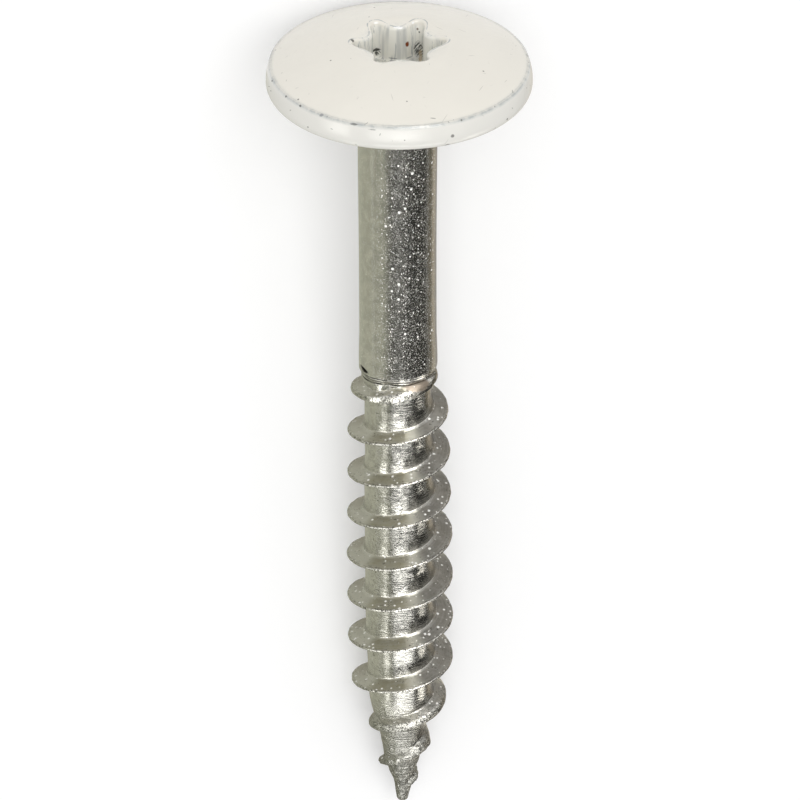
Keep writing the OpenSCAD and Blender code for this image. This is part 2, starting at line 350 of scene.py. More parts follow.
class StageSizes(bpy.types.PropertyGroup):
    """Camera and floor. Lengths are in millimetres, apart from the floor's."""
    lens: FloatProperty(name="Lens", description="Focal length", default=405.0)
    rise: FloatProperty(name="Rise", description="Camera's rise over the plane across the screw",
                        subtype="ANGLE", default=math.radians(31.0))
    aim_depth: FloatProperty(name="Aim", description="Depth that the camera looks at", default=16.39)
    aim_side: FloatProperty(name="Aim aside", description="Aim right of the head's middle", default=0.033)
    distance: FloatProperty(name="Distance", description="Camera to the aim", default=412.8)
    floor_size: FloatProperty(name="Floor", description="Side of the floor", subtype="DISTANCE",
                              unit="LENGTH", default=4.0)


def screw_frame():
    """The screw's own frame as a matrix, from the record's mounts: z to the head, x to the photo's right."""
    mounts = {m["name"]: m for m in frame["record"]["mounts"]}
    drive, face = mounts["drive_recess"], mounts["bearing_face"]
    up = Vector(drive["axis"]).normalized()
    middle = Vector(drive["pos_m"])
    beside = Vector(face["pos_m"])
    origin = middle + up * (beside - middle).dot(up)
    right = (beside - origin).normalized()
    back = up.cross(right)
    turn = Matrix((right, back, up)).transposed().to_4x4()
    return Matrix.Translation(origin) @ turn


def crest_of(turn, depth, t):
    """Depth of the thread's nearest crest at each place, and how far below it the place lies. The last turns
    lie a little late, more so at the left."""
    first = t.pitch * (math.degrees(t.start_turn) - turn) / FULL_TURN
    crest = first + t.pitch * np.round((depth - first) / t.pitch)
    late = smooth(crest, *TURNS_DRIFT) * (0.2 - 0.13 * np.cos(np.radians(turn)))
    return crest + late, depth - crest - late


def plain_radius(depth, s):
    """Radius of the shank, with the fillet under the head, the taper below it and the swell at its end."""
    neck, shank, swell = s.neck_d / 2, s.shank_d / 2, s.swell_d / 2
    radius = shank + (neck - shank) * (1 - share(depth, 0, s.taper_len)) ** 1.3
    radius = radius + (swell - shank) * smooth(depth, s.swell_at - s.swell_len, s.swell_at)
    fillet = 1 - share(depth, 0, s.fillet_r)
    return radius + s.fillet_r * (1 - np.sqrt(1 - fillet ** 2))


def shank_end(turn, depth):
    """Depth where the shank's slanted end begins, and how much of the shank is left at each place.
    It ends in one slope at the right, and in two steps at the left."""
    side = np.cos(np.radians(turn))
    middle = SHANK_END + 0.09 * side ** 2 + 0.05 * side + 0.03 * ripple(turn, depth * 0, 1.2, 2.0)
    half = 0.25 + 0.14 * side
    slope = 1 - smooth(depth, middle - half, middle + half)
    upper_step = 1 - smooth(depth, middle - 0.07, middle + 0.05)
    lower_step = 1 - smooth(depth, *LEFT_STEP_ENDS)
    left = smooth(-side, 0.1, 0.8)
    return middle - half, slope * (1 - left) + (0.45 * upper_step + 0.55 * lower_step) * left


def core_waist(off, knee, crest, t):
    """Rise and fall of the core between two turns, lowest a little above the middle of the gap."""
    gap = share(np.where(off < 0, off + t.pitch, off), knee, t.pitch - knee) - 0.42
    valley = 0.2 * (np.hypot(gap, 0.06) - 0.36) + 0.2 * (np.hypot(np.maximum(gap, 0), 0.04) - 0.1)
    full = smooth(crest, *CORE_WAIST_GROWS) * (1 - smooth(crest, *CORE_WAIST_FADES))
    return t.waist / 0.3 * valley * (np.abs(off) > knee) * full


def thread_height(turn, depth, t):
    """Height of the thread over the core at each place, its full height there, and masks of its faces."""
    crest, off = crest_of(turn, depth, t)
    off = off + 0.014 * ripple(turn, crest, 0.4, 1.0)
    full = np.maximum(along(CREST_OUTLINE, crest) - along(CORE_OUTLINE, crest), 0)
    full = full * smooth(crest, *THREAD_RISES) + 0.02 * ripple(turn, crest, 0.22, 5.0) * (full > 0.3)
    first = np.exp(-((crest - FIRST_CREST) / 0.5) ** 2)
    last = smooth(crest, *CREST_BROADENS) * (1 - 0.5 * smooth(crest, *CREST_NARROWS))
    half = t.crest_w / 2 + 0.15 * (first + last)
    above = np.abs(off)
    tilt = t.crest_tilt * (1 + 0.5 * first + 0.5 * last) * (full > 0.05)
    peak = full + tilt * np.clip(off, -half, half)
    root_h = t.root_h * np.minimum(1, full / 0.85)
    knee = half + (full - root_h) * t.flank_lean * (1 + 1.2 * smooth(crest, *FLANKS_SLUMP))
    worn = 0.09 * full * last + 0.02 * first + 0.006
    crown = peak - worn * np.minimum(1, (above / half) ** 2)
    flank = peak - worn + (root_h - peak + worn) * (above - half) / np.maximum(knee - half, 1e-6)
    hollow = root_h * (1 - share(above, knee, knee + t.root_w)) ** 1.8
    height = np.where(above < half, crown, np.where(above < knee, flank, hollow))
    inner = 1 - smooth(above, knee + 0.4 * t.root_w, knee + t.root_w)
    masks = {
        "flank": smooth(above, half - 0.02, half + 0.04) * inner * smooth(full, 0.1, 0.4),
        "crest": (1 - smooth(above, half, half + 0.04)) * smooth(full, 0.1, 0.3),
    }
    return height + core_waist(off, knee, crest, t), full, masks


def fold_ridge(turn, depth):
    """Height of the ridge of folded metal that climbs from the first crest, round the screw's front."""
    around = np.mod(turn, FULL_TURN)
    ridge_at = 14.6 + 0.6 * (np.clip(292 - around, 0, 90) / 67) ** 2
    reach = smooth(around, 212, 236) * (1 - smooth(around, 262, 335))
    return 0.08 * reach * np.exp(-((depth - ridge_at) / 0.07) ** 2)


def steel_radius(turn, depth, s, t):
    """Radius of the steel at each place, with masks of the thread's faces and of the shank and its end."""
    core = along(CORE_OUTLINE, depth)
    brink, ramp = shank_end(turn, depth)
    height, full, masks = thread_height(turn, depth, t)
    radius = core + np.maximum((plain_radius(depth, s) - core) * ramp, height)
    radius = radius + fold_ridge(turn, depth)
    for at, deep, round_mm, long_mm, high in FLAWS:
        away = (turn - at + FULL_TURN / 2) % FULL_TURN - FULL_TURN / 2
        arc = np.radians(away) * np.maximum(core, 0.35)
        radius = radius + high * np.exp(-(arc / round_mm) ** 2 - ((depth - deep) / long_mm) ** 2)
    radius = radius * (1 + 0.07 * smooth(depth, *POINT_RAGGED) * ripple(turn, depth, 0.45, 7.0))
    dents = np.clip(ripple(turn, depth, 0.8, 9.0) - 0.35, 0, 1)
    radius = radius - 0.05 * dents * (1 - ramp)
    masks["climb"] = share(radius - core, 0.0, np.maximum(full, 0.05))
    masks = {name: mask * (1 - ramp) for name, mask in masks.items()}
    masks["shank"] = 1 - smooth(depth, brink, brink + 0.35)
    masks["below"] = depth - brink
    return radius, masks


def row_shares(t):
    """Where the helical rows lie in one pitch, close together at the crest and at the roots' ends."""
    half = np.array(ROW_OFFSETS) / t.pitch
    return np.r_[0.5 - half[:0:-1], 0.5 + half, 1.0]


def steel_grid(s, t):
    """Turn and depth of every point of the steel's skin. Its rows run level on the shank and at the tip, and
    along the helix in between, with two wedges where one kind of row passes into the other."""
    part = np.arange(s.columns + 1) / s.columns
    turn = math.degrees(t.start_turn) - FULL_TURN * part
    rows = row_shares(t)[:, None]
    level = np.r_[NECK_ROWS, np.arange(0.7, 12.4, 0.5), np.arange(12.5, 13.8, 0.15),
                  np.arange(13.85, t.grid_at - 0.01, 0.032), t.grid_at]
    start = t.grid_at + t.pitch * part
    bottom = t.grid_at + t.pitch * (t.turns + 1)
    tip = np.r_[np.arange(bottom + 0.06, s.length - 0.1, 0.06), s.length - 0.07, s.length - 0.03, s.length]
    blocks = [level[:, None] + 0 * part, t.grid_at + t.pitch * part * rows]
    blocks += [start + t.pitch * (k + rows) for k in range(t.turns)]
    blocks += [start + t.pitch * (t.turns + (1 - part) * rows), tip[:, None] + 0 * part]
    depth = np.vstack(blocks)
    return turn + 0 * depth, depth


def grid_faces(rows, columns):
    """Quads between the rows and columns of a grid."""
    a = (np.arange(rows - 1)[:, None] * columns + np.arange(columns - 1)).ravel()
    return np.stack([a, a + 1, a + columns + 1, a + columns], axis=1)


def make_piece(name, points, faces, masks):
    """Adds a piece whose points are in the screw's frame in millimetres, welds its seams and smooths it."""
    mesh = bpy.data.meshes.new(name)
    place = np.array(screw_frame())
    points = np.asarray(points) * MM @ place[:3, :3].T + place[:3, 3]
    mesh.from_pydata(points.tolist(), [], faces)
    for mask, values in masks.items():
        attribute = mesh.attributes.new(mask, "FLOAT", "POINT")
        attribute.data.foreach_set("value", np.asarray(values, dtype=np.float32))
    skin = bmesh.new()
    skin.from_mesh(mesh)
    bmesh.ops.remove_doubles(skin, verts=skin.verts, dist=WELD)
    bmesh.ops.dissolve_degenerate(skin, edges=skin.edges, dist=SLIVER)
    bmesh.ops.recalc_face_normals(skin, faces=skin.faces)
    skin.to_mesh(mesh)
    skin.free()
    mesh.shade_smooth()
    piece = bpy.data.objects.new(name, mesh)
    bpy.context.scene.collection.objects.link(piece)
    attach(piece, BODY)
    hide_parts(CAD_NODE)
    return piece


class ShaderBench:
    """Short ways to add and join nodes in a material or a node group."""

    def __init__(self, tree):
        self.tree = tree
        tree.nodes.clear()

    def add(self, kind, inputs=(), **settings):
        node = self.tree.nodes.new(kind)
        for key, value in settings.items():
            setattr(node, key, value)
        for key, value in dict(inputs).items():
            self.feed(node.inputs[key], value)
        return node

    def feed(self, socket, value):
        if isinstance(value, bpy.types.NodeSocket):
            self.tree.links.new(value, socket)
        else:
            socket.default_value = value

    def math(self, operation, a, b=0.0, c=0.0, clamp=False):
        node = self.add("ShaderNodeMath", operation=operation, use_clamp=clamp)
        for socket, value in zip(node.inputs, (a, b, c)):
            self.feed(socket, value)
        return node.outputs[0]

    def times(self, a, b):
        return self.math("MULTIPLY", a, b)

    def times_plus(self, a, b, c, clamp=False):
        return self.math("MULTIPLY_ADD", a, b, c, clamp)

    def plus(self, a, b, clamp=False):
        return self.math("ADD", a, b, clamp=clamp)

    def less(self, a, b):
        return self.math("SUBTRACT", a, b)

    def most(self, *values):
        """The highest of two or more values."""
        high = values[0]
        for value in values[1:]:
            high = self.math("MAXIMUM", high, value)
        return high

    def spread(self, value, low, high, to_low=0.0, to_high=1.0):
        """Maps a value from low..high to to_low..to_high, softly and held at both ends."""
        ends = {"Value": value, "From Min": low, "From Max": high, "To Min": to_low, "To Max": to_high}
        return self.add("ShaderNodeMapRange", ends, interpolation_type="SMOOTHSTEP").outputs[0]

    def mix(self, amount, a, b):
        node = self.add("ShaderNodeMix", data_type="RGBA")
        for index, value in ((0, amount), (6, a), (7, b)):
            if isinstance(value, (tuple, list)) and len(value) == 3:
                value = (*value, 1.0)
            self.feed(node.inputs[index], value)
        return node.outputs[2]

    def noise(self, place, scale, detail=2.0, rough=0.5, warp=0.0):
        ends = {"Vector": place, "Scale": scale, "Detail": detail, "Roughness": rough, "Distortion": warp}
        return self.add("ShaderNodeTexNoise", ends).outputs[0]

    def vector(self, operation, a, b=(0, 0, 0)):
        """A vector sum, product and the like. A length or a dot product comes out as one value."""
        node = self.add("ShaderNodeVectorMath", {0: a, 1: b}, operation=operation)
        return node.outputs["Value" if operation in ("LENGTH", "DOT_PRODUCT") else "Vector"]

    def stretch(self, place, x, y, z):
        return self.vector("MULTIPLY", place, (x, y, z))

    def turn(self, place, axis, angle):
        ends = {"Vector": place, "Angle": angle}
        return self.add("ShaderNodeVectorRotate", ends, rotation_type=f"{axis}_AXIS").outputs[0]

    def xyz(self, place):
        return self.add("ShaderNodeSeparateXYZ", {0: place}).outputs

    def join(self, x, y, z=0.0):
        return self.add("ShaderNodeCombineXYZ", {0: x, 1: y, 2: z}).outputs[0]

    def cells(self, place, spacing, dimensions="3D"):
        """Scattered cells at a spacing in millimetres, with three random lots for each."""
        ends = {"Vector": place, "Scale": self.math("DIVIDE", 1.0, spacing)}
        cells = self.add("ShaderNodeTexVoronoi", ends, voronoi_dimensions=dimensions).outputs
        return cells, self.add("ShaderNodeSeparateColor", {0: cells["Color"]}).outputs

    def mask(self, name):
        """One of the masks that the piece's points carry."""
        return self.add("ShaderNodeAttribute", attribute_name=name).outputs["Fac"]

    def mix_vector(self, amount, a, b):
        return self.add("ShaderNodeMix", {0: amount, 4: a, 5: b}, data_type="VECTOR").outputs[1]

    def group(self, group, **inputs):
        node = self.add("ShaderNodeGroup", node_tree=group)
        for key, value in inputs.items():
            self.feed(node.inputs[key], value)
        return node.outputs[0]


def new_group(name, inputs, output):
    """A shader node group with float and vector inputs and one value out, and a bench to fill it."""
    tree = bpy.data.node_groups.new(name, "ShaderNodeTree")
    for label, default in inputs.items():
        kind = "NodeSocketVector" if default is None else "NodeSocketFloat"
        socket = tree.interface.new_socket(label, in_out="INPUT", socket_type=kind)
        if default is not None:
            socket.default_value = default
    tree.interface.new_socket(output, in_out="OUTPUT", socket_type="NodeSocketFloat")
    bench = ShaderBench(tree)
    return tree, bench, bench.add("NodeGroupInput").outputs


def finish_group(bench, value):
    bench.feed(bench.add("NodeGroupOutput").inputs[0], value)


def dots_group():
    """Round dots of uneven size, scattered in cells: overspray on the steel, specks in the paint."""
    inputs = {"Place": None, "Spacing": 0.3, "Radius": 0.05, "Share": 0.5}
    tree, b, given = new_group("Scattered Dots", inputs, "Mask")
    cells, lot = b.cells(given["Place"], given["Spacing"])
    reach = b.times(cells["Distance"], given["Spacing"])
    size = b.times(given["Radius"], b.times_plus(b.math("POWER", lot[0], 2.0), 0.9, 0.42))
    inside = b.less(1.0, b.math("DIVIDE", reach, size))
    dot = b.spread(inside, 0.0, 0.3)
    finish_group(b, b.times(dot, b.math("LESS_THAN", lot[1], given["Share"])))
    return tree


def scratches_group():
    """Short straight scratches, each at its own angle, over a flat place."""
    inputs = {"Place": None, "Spacing": 1.0, "Length": 0.4, "Width": 0.02, "Share": 0.3}
    tree, b, given = new_group("Short Scratches", inputs, "Mask")
    cells, lot = b.cells(given["Place"], given["Spacing"], "2D")
    away = b.vector("SUBTRACT", given["Place"], cells["Position"])
    u, v = b.xyz(b.turn(away, "Z", b.times(lot[0], 2 * math.pi)))[:2]
    length = b.times(given["Length"], b.times_plus(lot[2], 0.8, 0.2))
    u = b.math("POWER", b.math("DIVIDE", u, length), 2.0)
    v = b.math("POWER", b.math("DIVIDE", v, given["Width"]), 2.0)
    stroke = b.spread(b.plus(u, v), 0.3, 1.0, 1.0, 0.0)
    finish_group(b, b.times(stroke, b.math("LESS_THAN", lot[1], given["Share"])))
    return tree


def grain_group():
    """Uneven grain of a surface, from 0 to 1 round 0.5."""
    tree, b, given = new_group("Surface Grain", {"Place": None, "Scale": 3.0, "Contrast": 1.0}, "Value")
    middle = b.less(b.noise(given["Place"], given["Scale"], 4.0, 0.6), 0.5)
    finish_group(b, b.times_plus(middle, given["Contrast"], 0.5, clamp=True))
    return tree


def spot_group():
    """One ragged spot round a place, with its own reach along each axis."""
    inputs = {"Place": None, "Middle": None, "Reach": None, "Ragged": 0.5}
    tree, b, given = new_group("Ragged Spot", inputs, "Mask")
    away = b.vector("SUBTRACT", given["Place"], given["Middle"])
    away = b.vector("LENGTH", b.vector("DIVIDE", away, given["Reach"]))
    edge = b.less(b.noise(given["Place"], 9.0, 3.0, 0.7), 0.5)
    finish_group(b, b.spread(b.times_plus(edge, given["Ragged"], away), 0.6, 1.0, 1.0, 0.0))
    return tree


def new_material(name):
    """A material with a Principled shader, and the screw's own places in millimetres."""
    material = bpy.data.materials.new(name)
    material.use_nodes = True
    bench = ShaderBench(material.node_tree)
    shader = bench.add("ShaderNodeBsdfPrincipled")
    bench.add("ShaderNodeOutputMaterial", {0: shader.outputs[0]})
    row = bench.add("ShaderNodeTexCoord").outputs["Object"]
    back = screw_frame().inverted()
    ends = {"Vector": row, "Location": back.translation / MM, "Rotation": back.to_euler()}
    place = bench.add("ShaderNodeMapping", {**ends, "Scale": [1 / MM] * 3}).outputs[0]
    return material, bench, shader, place


def give_relief(bench, shader, height):
    """Roughens a shader's surface by a height in millimetres."""
    bump = bench.add("ShaderNodeBump", {"Strength": 1.0, "Distance": MM, "Height": height})
    bench.feed(shader.inputs["Normal"], bump.outputs[0])


def steel_places(b, place, groups):
    """What the steel's finish depends on at each place: its depth, the face of the thread that it lies on,
    the way that it faces, and its grain."""
    v = SimpleNamespace(place=place)
    v.x, y, v.z = b.xyz(place)
    v.depth = b.times(v.z, -1.0)
    v.flank, v.crest, v.climb = (b.mask(name) for name in ("flank", "crest", "climb"))
    v.plain, v.below = b.mask("shank"), b.mask("below")
    v.thread = b.less(1.0, v.plain)
    v.level = b.join(v.x, y)
    outward = b.vector("NORMALIZE", v.level)
    v.right = b.xyz(outward)[0]
    v.sprayed = b.spread(b.vector("DOT_PRODUCT", outward, SPRAY_AND_GLINT_SIDE), 0.5, 0.72)
    v.oily = b.spread(b.vector("DOT_PRODUCT", outward, BROWN_AND_SHADED_SIDE), 0.84, 0.96)
    v.lumps = b.group(groups["grain"], Place=place, Scale=2.2, Contrast=1.6)
    v.point = b.spread(v.depth, *POINT_TOOLED)
    v.core = b.times(v.thread, b.most(b.less(1.0, v.flank), v.point))
    v.tooling = b.noise(b.stretch(place, 0.8, 0.8, 15.0), 1.0, 3.0, 0.65)
    v.patches = b.spread(b.noise(place, 1.2, 1.0), 0.42, 0.6, 0.25, 1.0)
    return v


def flank_film_and_shade(b, v, colours):
    """Cover and colour of the film on the thread's flanks: brown at the front, a real stain whose darker
    tone is partly painted shade, painted shade at the right and in its roots, and paler rings."""
    cover = b.times(v.flank, b.spread(v.lumps, 0.2, 0.7, 0.6, 0.9))
    cover = b.times(cover, b.spread(v.point, 0.0, 1.0, 1.0, 0.45))
    # Brown at the front: a real stain, with a darker tone that is partly painted shade
    colour = b.mix(v.oily, PALE_FILM, tuple(colours.film))
    # Painted shade: the flanks are darker on the screw's right side
    colour = b.mix(b.spread(v.right, 0.35, 0.6), colour, SHADED_RIGHT_FILM)
    around = b.join(b.times(b.vector("LENGTH", v.level), 11.0), b.times(v.z, 0.6))
    rings = b.spread(b.noise(around, 1.0, 3.0, 0.7), 0.45, 0.65, 0.0, 0.18)
    colour = b.mix(rings, colour, RING_GLEAM)
    # Painted shade in the roots of the flanks, on their brown side
    root = b.times(b.spread(v.climb, 0.15, 0.7, 0.5, 0.0), v.oily)
    return cover, b.mix(root, colour, ROOT_SHADE)


def steel_dirt(b, v, groups):
    """Dark pits in the thread, chips along its crest, and flecks and tool marks on the core and point."""
    pores = b.group(groups["grain"], Place=v.place, Scale=9.0, Contrast=1.8)
    pits = b.times(b.spread(pores, 0.2, 0.27, 0.7, 0.0), v.thread)
    chips = b.times(v.crest, b.spread(b.noise(v.place, 12.0, 2.0, 0.6), 0.41, 0.48, 0.9, 0.0))
    flecks = b.noise(b.stretch(v.place, 3.6, 3.6, 19.0), 1.0, 2.0, 0.6)
    flecks = b.spread(b.times_plus(v.point, -0.03, flecks), 0.29, 0.38, 0.75, 0.0)
    lines = b.times(b.spread(v.tooling, 0.36, 0.5, 0.7, 0.0), v.point)
    flecks = b.times(b.most(flecks, lines), v.core)
    mottle = b.times(b.spread(b.noise(v.place, 6.0, 3.0, 0.7), 0.36, 0.54, 0.24, 0.0), v.core)
    return b.most(flecks, b.times(mottle, v.patches), pits, chips)


def rolled_folds(b, v):
    """Thin folds of metal along the shank's end, weaker at the right. The mask cuts them into the relief,
    and paints shade into them.
    """
    wave = b.times_plus(b.noise(v.place, 1.1, 1.0), 0.09, v.below)
    folds = b.math("PINGPONG", b.less(wave, 0.06), 0.08)
    reach = b.times(b.spread(v.below, -0.04, 0.01), b.spread(v.below, 0.36, 0.5, 1.0, 0.0))
    reach = b.times(reach, b.spread(v.x, 0.3, 1.3, 1.0, 0.25))
    reach = b.times(reach, b.spread(b.noise(v.place, 3.0, 2.0), 0.35, 0.5, 0.5, 1.0))
    return b.times(b.spread(folds, 0.022, 0.056, 1.0, 0.0), reach)


def overspray_and_glints(b, v, groups):
    """White dots, partly stray paint and partly painted glints: a shower down the front of the shank, and
    larger dots on the thread.
    """
    dots = {name: b.group(groups["dots"], Place=v.place, **dot) for name, dot in SPRAY_AND_GLINT_DOTS.items()}
    spray_and_glint_cover = b.times(b.most(v.sprayed, 0.22), v.plain)
    fine_spray_and_glints = b.times(b.most(dots["fine"], b.times(dots["finest"], 0.5)), spray_and_glint_cover)
    big_dot_cover = b.spread(b.most(spray_and_glint_cover, v.flank), 0.0, 1.0, 0.2, 1.0)
    # Painted glints: the dots on the thread's flanks
    return b.most(b.times(dots["big"], big_dot_cover), b.times(dots["few"], v.flank), fine_spray_and_glints)


def point_tarnish(b, v):
    """How dull the point is, with patches of tarnish on its tip."""
    patches = b.spread(b.noise(v.place, 5.5, 3.0, 0.7), 0.4, 0.58, 0.05, 0.95)
    patches = b.times(patches, b.spread(v.depth, *TIP_TARNISHES, 0.0, 0.6))
    return b.plus(b.spread(v.depth, *POINT_DULLS, 0.0, 0.38), patches, clamp=True)


def steel_relief(b, v, folds, spray):
    """Height of the steel's fine relief in millimetres: foil-like on the core, rough on the point, and drawn
    along the shank."""
    crumple = b.noise(b.stretch(v.place, 2.4, 2.4, 3.0), 1.0, 3.0, 0.6, 0.6)
    foil = b.noise(b.stretch(v.place, 2.2, 2.2, 15.0), 1.0, 3.0, 0.65, 0.5)
    grit = b.noise(v.place, 13.0, 2.0, 0.7)
    rolled = b.times(v.tooling, b.spread(v.point, 0.0, 1.0, 0.008, 0.07))
    rolled = b.times_plus(crumple, b.spread(v.flank, 0.0, 1.0, 0.01, 0.008), rolled)
    rolled = b.times_plus(foil, b.times(v.core, b.spread(v.patches, 0.25, 1.0, 0.004, 0.01)), rolled)
    rolled = b.times_plus(grit, b.spread(v.depth, *TIP_GRITTY, 0.006, 0.022), rolled)
    chipped = b.times(v.crest, b.spread(v.depth, *CREST_CHIPS_GROW, 0.004, 0.013))
    rolled = b.times_plus(grit, chipped, rolled)
    drawn = b.times_plus(grit, b.spread(v.sprayed, 0.0, 1.0, 0.0015, 0.0025), b.times(v.tooling, 0.003))
    relief = b.plus(b.times(rolled, v.thread), b.times(drawn, v.plain))
    return b.times_plus(folds, -0.018, b.times_plus(spray, 0.008, relief))


def grain_direction(b, v):
    """The way that the polish runs: round the shank, and along the thread."""
    along_screw = screw_frame().to_3x3() @ Vector((0, 0, 1))
    facing = b.add("ShaderNodeNewGeometry").outputs["Normal"]
    return b.mix_vector(v.plain, along_screw, b.vector("CROSS_PRODUCT", along_screw, facing))


def steel_material(colours, groups):
    """Satin steel: a gritty drawn shank, a rolled thread with a film on its flanks, stray paint and painted
    glints.
    """
    material, b, shader, place = new_material("screw_steel")
    v = steel_places(b, place, groups)
    dim_steel = tuple(c * DIM_STEEL for c in colours.steel)
    colour = b.mix(b.spread(v.lumps, 0.25, 0.75), dim_steel, tuple(colours.steel))
    film, film_and_shade_colour = flank_film_and_shade(b, v, colours)
    colour = b.mix(film, colour, film_and_shade_colour)
    colour = b.mix(steel_dirt(b, v, groups), colour, SOOT)
    folds = rolled_folds(b, v)
    notch_shade = b.group(groups["spot"], Place=place, **NOTCH_SHADE)
    # A beige patch on the first flank, at the right of the shank's end
    beige_wedge = b.times(b.group(groups["spot"], Place=place, **BEIGE_WEDGE), 0.9)
    # Painted shade: the folds and the dent at the shank's end turn near black, where their shadow falls
    fold_shade = b.most(b.times(folds, 0.95), notch_shade)
    colour = b.mix(fold_shade, b.mix(beige_wedge, colour, BEIGE), FOLD_SHADE)
    colour = b.mix(point_tarnish(b, v), colour, TARNISH)
    spray = overspray_and_glints(b, v, groups)
    b.feed(shader.inputs["Base Color"], b.mix(spray, colour, tuple(colours.spray)))
    bare = b.less(1.0, b.times(film, 0.55))
    b.feed(shader.inputs["Metallic"], b.times(bare, b.less(1.0, spray)))
    rough = b.times_plus(v.plain, 0.04, b.spread(film, 0.0, 0.7, 0.12, 0.26))
    rough = b.times_plus(v.lumps, 0.08, rough)
    b.feed(shader.inputs["Roughness"], b.most(rough, b.times(b.most(spray, fold_shade, beige_wedge), 0.5)))
    shader.inputs["Anisotropic"].default_value = 0.6
    b.feed(shader.inputs["Tangent"], grain_direction(b, v))
    give_relief(b, shader, steel_relief(b, v, folds, spray))
    return material


def blunt_tip(radius, turn, depth, s):
    """Pinches the tip from front to back, and rounds off its end."""
    across = np.abs(np.sin(np.radians(turn)))
    radius = radius * (1 - 0.35 * smooth(depth, s.length - 0.25, s.length) * across)
    return radius * np.sqrt(1 - 0.5 * share(depth, s.length - 0.12, s.length) ** 2)


class PHS_OT_steel(bpy.types.Operator):
    """Make the steel shank, thread and point as one skin"""
    bl_idname = "screw.make_steel"
    bl_label = "Shank and Thread"

    def execute(self, context):
        s, t = context.scene.screw_shank, context.scene.screw_thread
        turn, depth = steel_grid(s, t)
        radius, masks = steel_radius(turn, depth, s, t)
        radius = blunt_tip(radius, turn, depth, s)
        a = np.radians(turn)
        aside = s.lean_to * share(depth, 5.0, s.length) ** 1.6 - s.neck_aside
        points = np.stack([radius * np.cos(a) + aside, radius * np.sin(a), -depth], axis=-1).reshape(-1, 3)
        rows, columns = depth.shape
        faces = grid_faces(rows, columns).tolist()
        top, tip, last = len(points), len(points) + 1, (rows - 1) * columns
        faces += [(top, i + 1, i) for i in range(columns - 1)]
        faces += [(tip, last + i, last + i + 1) for i in range(columns - 1)]
        ends = [(aside[0, 0], 0, -depth[0, 0]), (aside[-1, 0], 0, 0.1 - s.length)]
        masks = {name: np.r_[value.ravel(), value[0, 0], value[-1, 0]] for name, value in masks.items()}
        piece = make_piece("steel_shank_and_thread", np.vstack([points, ends]), faces, masks)
        piece.data.materials.append(steel_material(context.scene.screw_colours, node_groups()))
        return {"FINISHED"}


def unit(angle):
    """Level direction at an angle in radians."""
    return np.array([math.cos(angle), math.sin(angle)])


def lobe_outline(h, count):
    """Points and outward normals round the six-lobed recess, evenly spread over its arcs."""
    lobe_at = h.lobe_d / 2 - h.lobe_r
    hollow_at = h.waist_d / 2 + h.hollow_r
    half = math.pi / LOBES
    swing = math.atan2(hollow_at * math.sin(half), hollow_at * math.cos(half) - lobe_at)
    sweep = swing - half
    steps = (np.arange(count // LOBES // 2) + 0.5) / (count // LOBES // 2)
    points, normals = [], []
    for k in range(LOBES):
        turn = 2 * half * k
        for a in turn - swing + 2 * swing * steps:
            points.append(lobe_at * unit(turn) + h.lobe_r * unit(a))
            normals.append(unit(a))
        for a in turn + half + math.pi + sweep - 2 * sweep * steps:
            points.append(hollow_at * unit(turn + half) + h.hollow_r * unit(a))
            normals.append(-unit(a))
    return np.array(points), np.array(normals)


def dome_at(h, reach):
    """Height of the dome's sphere at a distance from the head's middle."""
    top_r = h.diameter / 2 - h.rim_inset
    dome_r = (top_r ** 2 + h.dome_h ** 2) / (2 * h.dome_h)
    return h.rim_h + h.dome_h - dome_r + np.sqrt(np.maximum(dome_r ** 2 - reach ** 2, 0))


def sunk_dome(h, xy):
    """Height of the dome at each place, with the soft countersink round the recess."""
    reach = np.hypot(xy[:, 0], xy[:, 1])
    sunk = h.sink_d / 2 - reach
    return dome_at(h, reach) - h.sink_slope * (sunk + np.hypot(sunk, 0.08)) / 2


def rim_rows(h, ring):
    """Rows under the head, over its lower edge, up its side and over the crease."""
    r, edge_r = h.diameter / 2, h.edge_r
    outline = [(x, 0.0) for x in (*UNDERSIDE_RINGS, r - edge_r)]
    for a in np.radians(np.linspace(-90, 0, 8)[1:]):
        outline.append((r - edge_r + edge_r * math.cos(a), edge_r + edge_r * math.sin(a)))
    for f in np.linspace(0, 1, 9)[1:]:
        outline.append((r - (h.rim_inset - 0.01) * f * f, edge_r + (h.rim_h - 0.035 - edge_r) * f))
    for inset, rise in ((0.012, -0.012), (h.crease, 0.006), (h.crease + 0.018, 0.024), (0.075, 0.045)):
        outline.append((r - h.rim_inset - inset, h.rim_h + rise))
    return [(ring * x, np.full(len(ring), z)) for x, z in outline]


def recess_rows(h, wall, out, spread):
    """Rows over the round of the recess's mouth, down its walls, round their foot and over the floor."""
    brink = wall + spread
    mouth = sunk_dome(h, brink + out * h.mouth_r)
    quarter = np.radians(np.linspace(0, 90, 7)[1:])
    rows = []
    for a in quarter:
        xy = brink + out * h.mouth_r * (1 - math.sin(a))
        rows.append((xy, mouth - 1.15 * h.mouth_r * (1 - math.cos(a))))
    lip = rows[-1][1]
    floor = h.rim_h + h.dome_h - h.recess_depth
    foot = floor + h.pool_r
    for f in np.linspace(0, 1, 13)[1:]:
        rows.append((wall + spread * max(0, 1 - f / 0.4) ** 2, lip + (foot - lip) * f))
    for a in quarter:
        z = foot - h.pool_r * math.sin(a)
        rows.append((wall - out * h.pool_r * (1 - math.cos(a)), np.full(len(wall), z)))
    inner = rows[-1][0]
    for f in np.linspace(0, 1, 8)[1:-1]:
        rows.append((inner * (1 - f), np.full(len(wall), floor - h.cone_depth * f)))
    return rows


